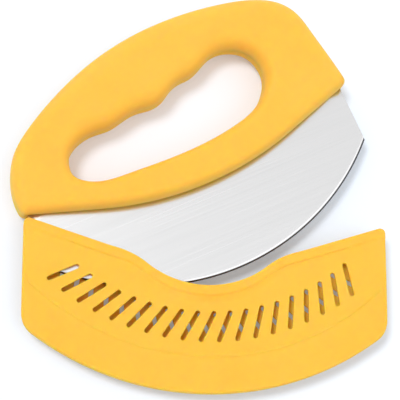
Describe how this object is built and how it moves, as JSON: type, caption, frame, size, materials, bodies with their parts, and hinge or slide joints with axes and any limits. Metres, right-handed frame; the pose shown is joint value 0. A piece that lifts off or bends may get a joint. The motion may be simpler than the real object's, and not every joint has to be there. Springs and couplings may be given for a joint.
{
  "type": "rocking pizza knife",
  "caption": "Curved rocking blade under a closed ring handle with a finger opening, with a slotted two-piece cover that swings off the edge.",
  "frame": {"origin": "middle of the handle's bar, on the flat crown of its back, on which the knife lies", "axes": "+X along the handle's bar and the blade's chord, +Y from the blade's edge towards the grip, +Z from the back of the knife to its front"},
  "size_m": [0.2255, 0.2199, 0.025],
  "materials": {
    "blade_steel": "satin",
    "pin_steel": "satin",
    "handle_plastic": "satin",
    "cover_plastic": "satin"
  },
  "bodies": {
    "knife": {"blade": "blade_steel", "front_handle_shell": "handle_plastic", "back_handle_shell": "handle_plastic", "tang_pins": "pin_steel"},
    "cover": {"front_cover_half": "cover_plastic", "back_cover_half": "cover_plastic"}
  },
  "joints": [
    {"name": "cover_swing", "type": "hinge", "parent": "knife", "child": "cover", "pos_m": [-0.1015, 0.0085, 0.0125], "axis": [0, 0, 1], "range_deg": [-60, 24.67]}
  ]
}
